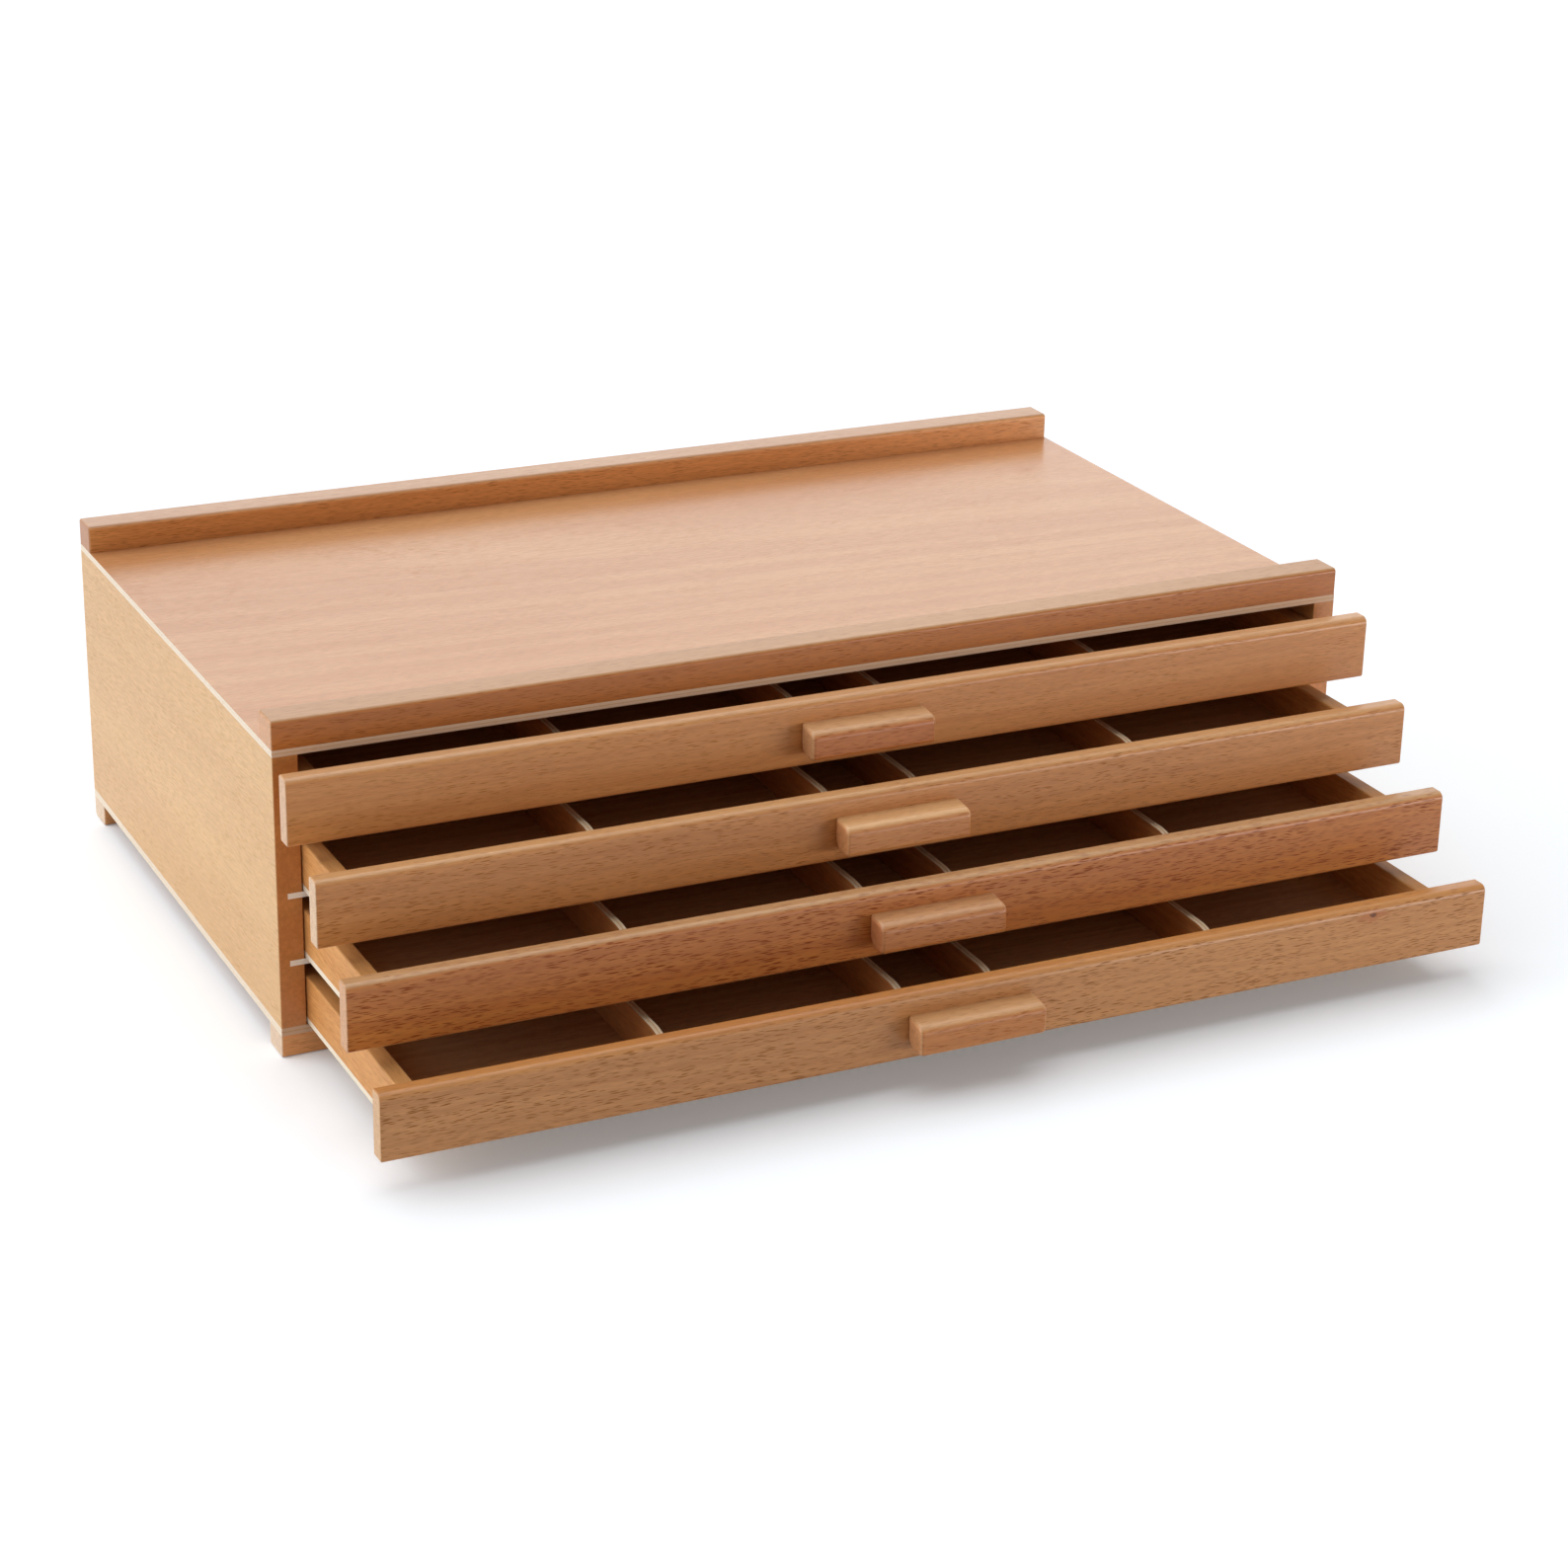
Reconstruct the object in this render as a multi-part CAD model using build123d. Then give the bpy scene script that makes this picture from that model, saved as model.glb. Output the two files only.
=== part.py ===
from build123d import *
import os

# A pencil drawer box in beech: a low case of thin panels between solid rails, holding a stack of
# shallow drawers, each parted into compartments by thin dividers.
# Millimetres, +Z up. The drawers face -Y and slide along Y. The origin is on the surface that the
# foot rails stand on, under the middle of the whole box with its drawers drawn out as they stand.

# Case
case_width = 400.0
case_depth = 226.0
side_height = 95.0
side_thick = 8.5
top_panel_thick = 2.4
bottom_panel_thick = 2.8
back_panel_thick = 4.0
back_rebate = 4.0  # how far each end of the back panel is let into a side panel
panel_ease = 0.4

# Rails along the front and the rear, on the top panel and under the bottom panel
rail_depth = 13.0
top_rail_height = 9.8
foot_rail_height = 8.0
rail_arris_radius = 1.4
rail_end_ease = 0.7

# Runners, one pair under each drawer but the lowest, which slides on the bottom panel
runner_thick = 2.0
runner_groove_depth = 4.8
runner_reach = 9.0  # how far a runner stands out of its side panel

# Drawers: how far each one is drawn out, from the top one down
drawer_1_pull = 12.1
drawer_2_pull = 39.2
drawer_3_pull = 65.8
drawer_4_pull = 94.6

# Drawer box
drawer_wall_thick = 6.0
drawer_wall_ease = 0.6
drawer_bottom_thick = 2.0
drawer_side_clearance = 0.6
drawer_slide_clearance = 0.3
drawer_headroom = 4.55  # free height between a drawer's walls and the runners above it
drawer_rear_clearance = 4.0
side_housing_depth = 2.0  # how far the drawer sides are let into the drawer front
back_housing_depth = 2.5  # how far the drawer back is let into each drawer side

# Drawer front
front_thick = 6.8
front_gap = 1.15
front_overhang = 1.8  # past the case on each side
front_top_radius = 2.4
front_foot_radius = 1.0
front_rear_radius = 0.8
front_end_ease = 0.6

# Dividers
divider_thick = 2.6
divider_drop = 0.4  # below the top of the drawer's walls
divider_slot_depth = 1.5
divider_end_height = 5.0
divider_ease_length = 19.0  # run of the curve at each end of the top edge
centre_compartment_width = 30.6

# Handle
handle_length = 46.0
handle_height = 10.8
handle_depth = 9.6
handle_drop = 1.2  # middle of the handle, below the middle of its front
handle_top_fall = 0.8  # the top slopes down towards the hand
handle_top_radius = 3.0
handle_foot_radius = 1.6
handle_finger_radius = 5.0
handle_end_ease = 1.3

# Levels and places that follow from those sizes
drawer_pulls = [drawer_1_pull, drawer_2_pull, drawer_3_pull, drawer_4_pull]
drawer_pitch = side_height / len(drawer_pulls)
bottom_panel_top = foot_rail_height + bottom_panel_thick
sides_top = bottom_panel_top + side_height
top_panel_top = sides_top + top_panel_thick
inner_width = case_width - 2 * side_thick

front_reach = max(drawer_pulls) + front_thick + handle_depth
case_front = (front_reach - case_depth) / 2
case_rear = case_front + case_depth
case_middle = (case_front + case_rear) / 2
back_panel_front = case_rear - back_panel_thick

box_width = inner_width - 2 * drawer_side_clearance
box_length = case_depth - back_panel_thick - drawer_rear_clearance
wall_height = (
    drawer_pitch
    - runner_thick
    - drawer_slide_clearance
    - drawer_bottom_thick
    - drawer_headroom
)
bottom_top = drawer_slide_clearance + drawer_bottom_thick
compartment_length = box_length - drawer_wall_thick
front_height = drawer_pitch - front_gap
front_width = case_width + 2 * front_overhang
front_middle = drawer_pitch / 2

divider_height = wall_height - divider_drop
inner_divider = (centre_compartment_width + divider_thick) / 2
box_inner_half = box_width / 2 - drawer_wall_thick
inner_divider_face = centre_compartment_width / 2 + divider_thick
wide_compartment = (box_inner_half - inner_divider_face - divider_thick) / 2
outer_divider = inner_divider + wide_compartment + divider_thick


def block(x_range, y_range, z_range):
    """A plain board between two planes on each axis."""
    (x0, x1), (y0, y1), (z0, z1) = x_range, y_range, z_range
    board = Box(x1 - x0, y1 - y0, z1 - z0)
    return Pos((x0 + x1) / 2, (y0 + y1) / 2, (z0 + z1) / 2) * board


def bar(section, length):
    """A bar along X, of a section drawn with Y across and Z up."""
    return Pos(-length / 2, 0, 0) * extrude(Plane.YZ * section, length)


def end_outlines(piece):
    """The edges round both ends of a bar along X."""
    return piece.faces().filter_by(Axis.X).edges()


def rail(height):
    """A rail with its foot on z = 0 and its front on y = 0, its top arrises rounded."""
    section = Pos(rail_depth / 2, height / 2) * Rectangle(rail_depth, height)
    section = fillet(section.vertices().group_by(Axis.Y)[-1], rail_arris_radius)
    piece = bar(section, case_width)
    outlines = end_outlines(piece)
    foot_edges = outlines.group_by(Axis.Z)[0]
    return fillet(outlines - foot_edges, rail_end_ease)


def foot_rail():
    """A foot rail, turned over, with its underside on z = 0 and its front on y = 0."""
    return Pos(0, 0, foot_rail_height) * mirror(rail(foot_rail_height), Plane.XY)


def cover_panel(thick):
    """A top or bottom panel as large as the case, with its underside on z = 0."""
    panel = Pos(0, case_middle, thick / 2) * Box(case_width, case_depth, thick)
    return fillet(panel.edges().filter_by(Axis.Z), panel_ease)


def back_panel():
    """The back panel, let into both side panels."""
    reach = inner_width / 2 + back_rebate
    return block((-reach, reach), (back_panel_front, case_rear), (bottom_panel_top, sides_top))


def left_runner(level):
    """The left runner whose top carries the drawer at this level."""
    groove_floor = -inner_width / 2 - runner_groove_depth
    tip = -inner_width / 2 + runner_reach
    top = bottom_panel_top + level * drawer_pitch
    return block((groove_floor, tip), (case_front, back_panel_front), (top - runner_thick, top))


def left_side_panel(runners):
    """The left side panel, grooved for its runners and rebated for the back panel."""
    panel = block(
        (-case_width / 2, -inner_width / 2),
        (case_front, case_rear),
        (bottom_panel_top, sides_top),
    )
    upright = panel.edges().filter_by(Axis.Z)
    panel = fillet(upright.group_by(Axis.X)[0], panel_ease)
    panel -= back_panel()
    for runner in runners:
        panel -= runner
    return panel


def left_drawer_side():
    """The left side of a drawer, let into the front, with a housing for the back."""
    outer = -box_width / 2
    side = block(
        (outer, outer + drawer_wall_thick),
        (-side_housing_depth, box_length),
        (bottom_top, bottom_top + wall_height),
    )
    top_arrises = side.edges().filter_by(Axis.Y).group_by(Axis.Z)[-1]
    side = fillet(top_arrises, drawer_wall_ease)
    return side - drawer_back_blank()


def drawer_back_blank():
    """The back of a drawer before its slots, let into both drawer sides."""
    reach = box_inner_half + back_housing_depth
    return block(
        (-reach, reach),
        (compartment_length, box_length),
        (bottom_top, bottom_top + wall_height),
    )


def divider(x):
    """A divider whose middle is at x. Its top edge curves down to a low tongue at each end."""
    top = bottom_top + divider_height
    tongue_top = bottom_top + divider_end_height
    fall = divider_height - divider_end_height
    curve_start = divider_ease_length
    curve_end = compartment_length - divider_ease_length
    outline = make_face(
        Polyline(
            (0, tongue_top),
            (-divider_slot_depth, tongue_top),
            (-divider_slot_depth, bottom_top),
            (compartment_length + divider_slot_depth, bottom_top),
            (compartment_length + divider_slot_depth, tongue_top),
            (compartment_length, tongue_top),
        )
        + Line((curve_start, top), (curve_end, top))
        + end_curve((curve_start, top), (0, tongue_top), fall)
        + end_curve((curve_end, top), (compartment_length, tongue_top), fall)
    )
    return Pos(x - divider_thick / 2, 0, 0) * extrude(Plane.YZ * outline, divider_thick)


def end_curve(level_point, low_point, fall):
    """The arc of a divider's end: level where it leaves the straight top, lower at the tongue."""
    run = divider_ease_length
    radius = (run**2 + fall**2) / (2 * fall)
    half_run = run / 2
    sag = radius - (radius**2 - half_run**2) ** 0.5
    direction = 1 if low_point[0] > level_point[0] else -1
    middle = (level_point[0] + direction * half_run, level_point[1] - sag)
    return ThreePointArc(level_point, middle, low_point)


def drawer_bottom():
    """The bottom of a drawer, flush with the outside of its walls."""
    half = box_width / 2
    return block((-half, half), (0, box_length), (drawer_slide_clearance, bottom_top))


def face_corner(section, rank):
    """A corner on the face of a section: rank 0 is the lowest, and -1 the highest."""
    return section.vertices().group_by(Axis.X)[0].sort_by(Axis.Y)[rank]


def drawer_front(sides, dividers):
    """The front strip of a drawer, its rear face on y = 0, housed for the sides and dividers."""
    section = Pos(-front_thick / 2, front_middle) * Rectangle(front_thick, front_height)
    section = fillet(section.vertices().group_by(Axis.X)[-1], front_rear_radius)
    section = fillet(face_corner(section, -1), front_top_radius)
    section = fillet(face_corner(section, 0), front_foot_radius)
    front = bar(section, front_width)
    front = fillet(end_outlines(front), front_end_ease)
    for side in sides:
        housed = side.bounding_box()
        front -= block(
            (housed.min.X, housed.max.X), (-side_housing_depth, 0), (bottom_top, housed.max.Z)
        )
    for piece in dividers:
        front -= piece
    return front


def drawer_handle():
    """A handle block glued to its front, its lower rear edge rounded for the fingers."""
    top = front_middle - handle_drop + handle_height / 2
    foot = top - handle_height
    glued = -front_thick
    face = glued - handle_depth
    section = make_face(
        Polyline(
            (glued, foot),
            (glued, top),
            (face, top - handle_top_fall),
            (face, foot),
            close=True,
        )
    )
    finger_corner = section.vertices().group_by(Axis.X)[-1].sort_by(Axis.Y)[0]
    section = fillet(finger_corner, handle_finger_radius)
    section = fillet(face_corner(section, -1), handle_top_radius)
    section = fillet(face_corner(section, 0), handle_foot_radius)
    handle = bar(section, handle_length)
    outlines = end_outlines(handle)
    glued_edges = outlines.group_by(Axis.Y)[-1]
    return fillet(outlines - glued_edges, handle_end_ease)


def mirrored(piece):
    """The right-hand twin of a left-hand piece."""
    return mirror(piece, Plane.YZ)


def case_pieces():
    """Every piece of the case by name."""
    rear_y = case_rear - rail_depth
    pieces = {
        "top_panel": Pos(0, 0, sides_top) * cover_panel(top_panel_thick),
        "bottom_panel": Pos(0, 0, foot_rail_height) * cover_panel(bottom_panel_thick),
        "back_panel": back_panel(),
        "top_rail_front": Pos(0, case_front, top_panel_top) * rail(top_rail_height),
        "top_rail_rear": Pos(0, rear_y, top_panel_top) * rail(top_rail_height),
        "foot_rail_front": Pos(0, case_front, 0) * foot_rail(),
        "foot_rail_rear": Pos(0, rear_y, 0) * foot_rail(),
    }
    levels = range(1, len(drawer_pulls))
    left_runners = [left_runner(level) for level in levels]
    left_side = left_side_panel(left_runners)
    pieces["left_side_panel"] = left_side
    pieces["right_side_panel"] = mirrored(left_side)
    for level, runner in zip(levels, left_runners):
        number = len(drawer_pulls) - level
        pieces[f"runner_left_{number}"] = runner
        pieces[f"runner_right_{number}"] = mirrored(runner)
    return pieces


def drawer_pieces():
    """Every piece of one drawer by name, on level z = 0, with the front's rear face on y = 0."""
    left = left_drawer_side()
    right = mirrored(left)
    places = [-outer_divider, -inner_divider, inner_divider, outer_divider]
    dividers = [divider(x) for x in places]
    back = drawer_back_blank()
    for piece in dividers:
        back -= piece
    pieces = {
        "front": drawer_front([left, right], dividers),
        "handle": drawer_handle(),
        "side_left": left,
        "side_right": right,
        "back": back,
        "bottom": drawer_bottom(),
    }
    for number, piece in enumerate(dividers, start=1):
        pieces[f"divider_{number}"] = piece
    return pieces


parts = case_pieces()
one_drawer = drawer_pieces()
for number, pull in enumerate(drawer_pulls, start=1):
    level = len(drawer_pulls) - number
    place = Pos(0, case_front - pull, bottom_panel_top + level * drawer_pitch)
    for name, piece in one_drawer.items():
        parts[f"drawer_{number}_{name}"] = place * piece

os.makedirs("parts", exist_ok=True)
for name, piece in parts.items():
    export_step(piece, f"parts/{name}.step")
    size = piece.bounding_box().size
    print(f"{name}: {size.X:.1f} x {size.Y:.1f} x {size.Z:.1f} mm")
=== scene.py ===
import logging
import math
from dataclasses import dataclass
from enum import Enum
from typing import NamedTuple

import bpy
from mathutils import Matrix, Vector


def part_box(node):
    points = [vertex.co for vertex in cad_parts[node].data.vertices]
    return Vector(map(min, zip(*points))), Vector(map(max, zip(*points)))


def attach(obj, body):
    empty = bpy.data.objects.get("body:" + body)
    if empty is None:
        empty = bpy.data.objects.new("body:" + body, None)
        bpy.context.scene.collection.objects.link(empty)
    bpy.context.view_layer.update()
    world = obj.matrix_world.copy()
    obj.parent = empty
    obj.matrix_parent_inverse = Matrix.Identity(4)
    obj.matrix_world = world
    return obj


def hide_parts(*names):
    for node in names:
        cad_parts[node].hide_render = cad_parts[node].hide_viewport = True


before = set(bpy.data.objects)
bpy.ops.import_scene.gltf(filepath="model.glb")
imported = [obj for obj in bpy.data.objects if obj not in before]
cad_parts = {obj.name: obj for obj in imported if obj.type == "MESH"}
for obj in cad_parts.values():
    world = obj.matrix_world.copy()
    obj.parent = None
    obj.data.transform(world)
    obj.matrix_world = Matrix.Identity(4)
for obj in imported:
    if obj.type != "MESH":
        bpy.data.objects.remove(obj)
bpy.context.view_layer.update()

# A pencil drawer box in beech, dressed for a plain white studio. All lengths are metres.

MM = 0.001
log = logging.getLogger("drawer_box")

Socket = bpy.types.NodeSocket
Triple = tuple[float, float, float]
Colour = tuple[float, float, float, float]
NodeValue = Socket | float | str | Triple | Colour
NodeInputs = dict[str | int, NodeValue]


def linear(hex_colour: str) -> Colour:
    """Turns an sRGB hex colour into the linear colour that the shaders take.

    Args:
        hex_colour: six hex digits with a leading hash sign.

    Returns:
        Linear red, green and blue, with an alpha of 1.
    """
    channels = []
    for start in (1, 3, 5):
        value = int(hex_colour[start:start + 2], 16) / 255
        channels.append(value / 12.92 if value <= 0.04045 else ((value + 0.055) / 1.055) ** 2.4)
    return (channels[0], channels[1], channels[2], 1.0)


def add_node(
    tree: bpy.types.NodeTree,
    kind: str,
    inputs: NodeInputs | None = None,
    **settings: object,
) -> bpy.types.Node:
    """Adds a node to a tree with its settings, input values and links.

    Args:
        tree: the node tree.
        kind: the node's type name.
        inputs: socket name or number to a plain value, or to the output socket linked to it.
        **settings: the node's own properties.

    Returns:
        The new node.
    """
    node = tree.nodes.new(kind)
    for name, value in settings.items():
        setattr(node, name, value)
    for key, value in (inputs or {}).items():
        if isinstance(value, Socket):
            tree.links.new(value, node.inputs[key])
        else:
            node.inputs[key].default_value = value
    return node


class Cut(Enum):
    """How a piece was cut: the turn, in degrees, that takes it to the grain's own axes.

    In those axes the grain runs along X, the growth rings are stacked along Y and the rays lie
    flat between X and Y, so that they show as thin dashes on faces seen along Y.
    """

    ALONG_WIDTH_FACING_FRONT = (0.0, 0.0, 0.0)
    ALONG_WIDTH_FACING_UP = (90.0, 0.0, 0.0)
    ALONG_DEPTH_FACING_SIDE = (0.0, 0.0, -90.0)

    @property
    def turn(self) -> Triple:
        """The turn in radians."""
        return tuple(math.radians(angle) for angle in self.value)


class Pattern(Enum):
    """Sizes of the patterns in the wood, in metres: along the grain, then across it twice.

    Rays are as large as the flecks in the photo. Pores are drawn several times wider than life,
    because the real ones would be finer than a pixel.
    """

    SWAY = (60.0 * MM, 20.0 * MM, 20.0 * MM)
    STREAK = (120.0 * MM, 1.6 * MM, 1.6 * MM)
    TONE = (150.0 * MM, 30.0 * MM, 30.0 * MM)
    PORE = (6.0 * MM, 0.35 * MM, 0.35 * MM)
    LONG_RAY = (7.5 * MM, 2.6 * MM, 0.66 * MM)
    SHORT_RAY = (5.5 * MM, 2.0 * MM, 0.5 * MM)
    RAY_DRIFT = (50.0 * MM, 12.0 * MM, 12.0 * MM)
    KNOT_FRAY = (2.0 * MM, 2.0 * MM, 0.9 * MM)
    SAWN_FIBRE = (1.5 * MM, 1.5 * MM, 0.5 * MM)


# Noise keeps near 0.5: the narrower the range that a ramp takes of it, the firmer the pattern.
WIDE, SOFT, FIRM = (0.2, 0.8), (0.3, 0.7), (0.35, 0.65)


class LogPlace(NamedTuple):
    """Where in the log a piece was cut, in metres, which decides its rings, rays and streaks."""

    along: float
    from_pith: float
    up: float


class TreeMaker:
    """A node tree under construction, with the steps that materials and geometry share."""

    def __init__(self, tree: bpy.types.NodeTree) -> None:
        """Starts with an empty tree.

        Args:
            tree: the tree to build in.
        """
        self.tree = tree
        self.tree.nodes.clear()

    def add(
        self, kind: str, inputs: NodeInputs | None = None, **settings: object
    ) -> bpy.types.Node:
        """Adds a node to this tree, as add_node does."""
        return add_node(self.tree, kind, inputs, **settings)

    def math(self, operation: str, *values: NodeValue) -> Socket:
        """Adds one step of arithmetic on these values."""
        inputs = dict(enumerate(values))
        return self.add("ShaderNodeMath", inputs, operation=operation).outputs[0]

    def vector_math(self, operation: str, *values: NodeValue, output: str = "Vector") -> Socket:
        """Adds one step of arithmetic on vectors, and returns its vector or its value."""
        inputs = dict(enumerate(values))
        return self.add("ShaderNodeVectorMath", inputs, operation=operation).outputs[output]

    def component(self, point: Socket, axis: str) -> Socket:
        """Returns one component, X, Y or Z, of a vector."""
        return self.add("ShaderNodeSeparateXYZ", {0: point}).outputs[axis]

    def combined(self, **parts: NodeValue) -> Socket:
        """Joins X, Y and Z into a vector, in which a part that isn't given is 0."""
        return self.add("ShaderNodeCombineXYZ", parts).outputs[0]


class Shader(TreeMaker):
    """A material under construction, with the few pattern steps that the finishes share."""

    def __init__(self, name: str) -> None:
        """Starts a material with an empty tree.

        Args:
            name: the material's name.
        """
        self.material = bpy.data.materials.new(name)
        self.material.use_nodes = True
        super().__init__(self.material.node_tree)

    def coordinates(self) -> tuple[Socket, Socket]:
        """Returns the piece's own coordinates and its normal in them."""
        source = self.add("ShaderNodeTexCoord")
        return source.outputs["Object"], source.outputs["Normal"]

    def grain_space(
        self, point: Socket, cut: Cut, place: LogPlace, tilt: float = 0.0, slope: float = 0.0
    ) -> Socket:
        """Turns a piece's coordinates to the grain's axes, at its own place in the log.

        Args:
            point: the piece's coordinates.
            cut: how the piece was cut.
            place: where in the log it was cut.
            tilt: turn of the grain in the face, in degrees.
            slope: turn of the grain out of the face, in degrees, which gives arched figure.

        Returns:
            The turned and shifted coordinates.
        """
        turned = self.add("ShaderNodeMapping", {"Vector": point, "Rotation": cut.turn})
        lean = (0.0, math.radians(tilt), math.radians(slope))
        tilted = self.add(
            "ShaderNodeMapping",
            {"Vector": turned.outputs[0], "Rotation": lean, "Location": place},
        )
        return tilted.outputs[0]

    def facings(self, normal: Socket, cut: Cut) -> tuple[Socket, Socket]:
        """Tells flat-sawn faces and end grain from the rest, blending over a rounded arris, where
        the facings' painted light and shade give a painted highlight band.

        Args:
            normal: the piece's normal in its own coordinates.
            cut: how the piece was cut.

        Returns:
            Two masks from 0 to 1: flat-sawn face, and end grain.
        """
        turned = self.add(
            "ShaderNodeMapping", {"Vector": normal, "Rotation": cut.turn}, vector_type="VECTOR"
        )
        size = self.vector_math("ABSOLUTE", turned.outputs[0])
        # Cosines of the lean at which a face starts to count, and at which it counts in full.
        flat = self.ramp(self.component(size, "Y"), 0.55, 0.95)
        end = self.ramp(self.component(size, "X"), 0.55, 0.9)
        return flat, end

    def stretched(self, point: Socket, size: Triple) -> Socket:
        """Scales coordinates so that one unit is this size, in metres, on each axis."""
        scale = tuple(1 / length for length in size)
        return self.add("ShaderNodeMapping", {"Vector": point, "Scale": scale}).outputs[0]

    def noise(
        self, point: Socket, pattern: Pattern, detail: float, output: str = "Fac"
    ) -> Socket:
        """Adds noise whose features are about as large as the pattern says."""
        inputs = {"Vector": self.stretched(point, pattern.value), "Scale": 1.0, "Detail": detail}
        return self.add("ShaderNodeTexNoise", inputs).outputs[output]

    def ramp(
        self, value: Socket, start: float, end: float, low: float = 0.0, high: float = 1.0
    ) -> Socket:
        """Maps a value smoothly from one range to another.

        Args:
            value: the value.
            start: the value that gives low, as all values before it do.
            end: the value that gives high, as all values beyond it do.
            low: result at the start.
            high: result at the end.

        Returns:
            The mapped value.
        """
        mapped = self.add(
            "ShaderNodeMapRange",
            {"Value": value, "From Min": start, "From Max": end, "To Min": low, "To Max": high},
            interpolation_type="SMOOTHSTEP",
        )
        return mapped.outputs["Result"]

    def times(self, first: Socket, second: NodeValue) -> Socket:
        """Multiplies two values."""
        return self.math("MULTIPLY", first, second)

    def plus(self, first: Socket, second: NodeValue) -> Socket:
        """Adds two values."""
        return self.math("ADD", first, second)

    def blend(
        self, factor: Socket, under: NodeValue, over: NodeValue, how: str = "MIX"
    ) -> Socket:
        """Lays one colour over another.

        Args:
            factor: how much of the upper colour shows, from 0 to 1.
            under: the lower colour.
            over: the upper colour.
            how: the way of mixing.

        Returns:
            The mixed colour.
        """
        mixed = self.add(
            "ShaderNodeMix",
            {"Factor": factor, 6: under, 7: over},
            data_type="RGBA",
            blend_type=how,
        )
        return mixed.outputs[2]

    def close(
        self,
        colour: Socket,
        roughness: Socket,
        height: Socket,
        relief: float,
        edge_radius: float,
        gloss: NodeValue,
    ) -> bpy.types.Material:
        """Ends the tree in a lacquered wood surface.

        Args:
            colour: the colour under the lacquer.
            roughness: the lacquer's roughness.
            height: relief pattern, from -0.5 in the deepest rays to 0.5.
            relief: depth of that relief, in metres.
            edge_radius: radius to which sanding and handling softened the arrises, in metres.
            gloss: specular level of the lacquer.

        Returns:
            The finished material.
        """
        softened = self.add("ShaderNodeBevel", {"Radius": edge_radius}, samples=4)
        bump = self.add(
            "ShaderNodeBump",
            {"Height": height, "Distance": relief, "Strength": 1.0, "Normal": softened.outputs[0]},
        )
        surface = self.add(
            "ShaderNodeBsdfPrincipled",
            {
                "Base Color": colour,
                "Roughness": roughness,
                "IOR": 1.5,
                "Specular IOR Level": gloss,
                "Normal": bump.outputs[0],
            },
        )
        self.add("ShaderNodeOutputMaterial", {"Surface": surface.outputs[0]})
        return self.material


@dataclass(frozen=True)
class Knot:
    """A pin knot: a dark core in a reddish patch that tails off along the grain."""

    place: Triple
    core: float = 1.4 * MM
    patch: float = 3.6 * MM
    dark: str = "#5C2A0A"
    warm: str = "#A45A26"
    fray: float = 0.35

    def mark(self, shader: Shader, point: Socket, colour: Socket) -> Socket:
        """Lays the knot over the wood's colour.

        Args:
            shader: the material under construction.
            point: the piece's coordinates.
            colour: the wood's colour.

        Returns:
            The colour with the knot in it.
        """
        ragged = shader.noise(point, Pattern.KNOT_FRAY, 3.0)
        uneven = shader.ramp(ragged, *WIDE, -self.fray, self.fray)
        offset = shader.vector_math("SUBTRACT", point, self.place)
        for stretch, radius, share, tone in (
            ((2.2, 1.0, 0.8), self.patch, 0.6, self.warm),
            ((1.3, 1.0, 0.75), self.core, 0.9, self.dark),
        ):
            size = tuple(part * radius for part in stretch)
            away = shader.vector_math("LENGTH", shader.stretched(offset, size), output="Value")
            inside = shader.ramp(shader.plus(away, uneven), 1.0, 0.5, 0.0, share)
            colour = shader.blend(inside, colour, linear(tone))
        return colour


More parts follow.
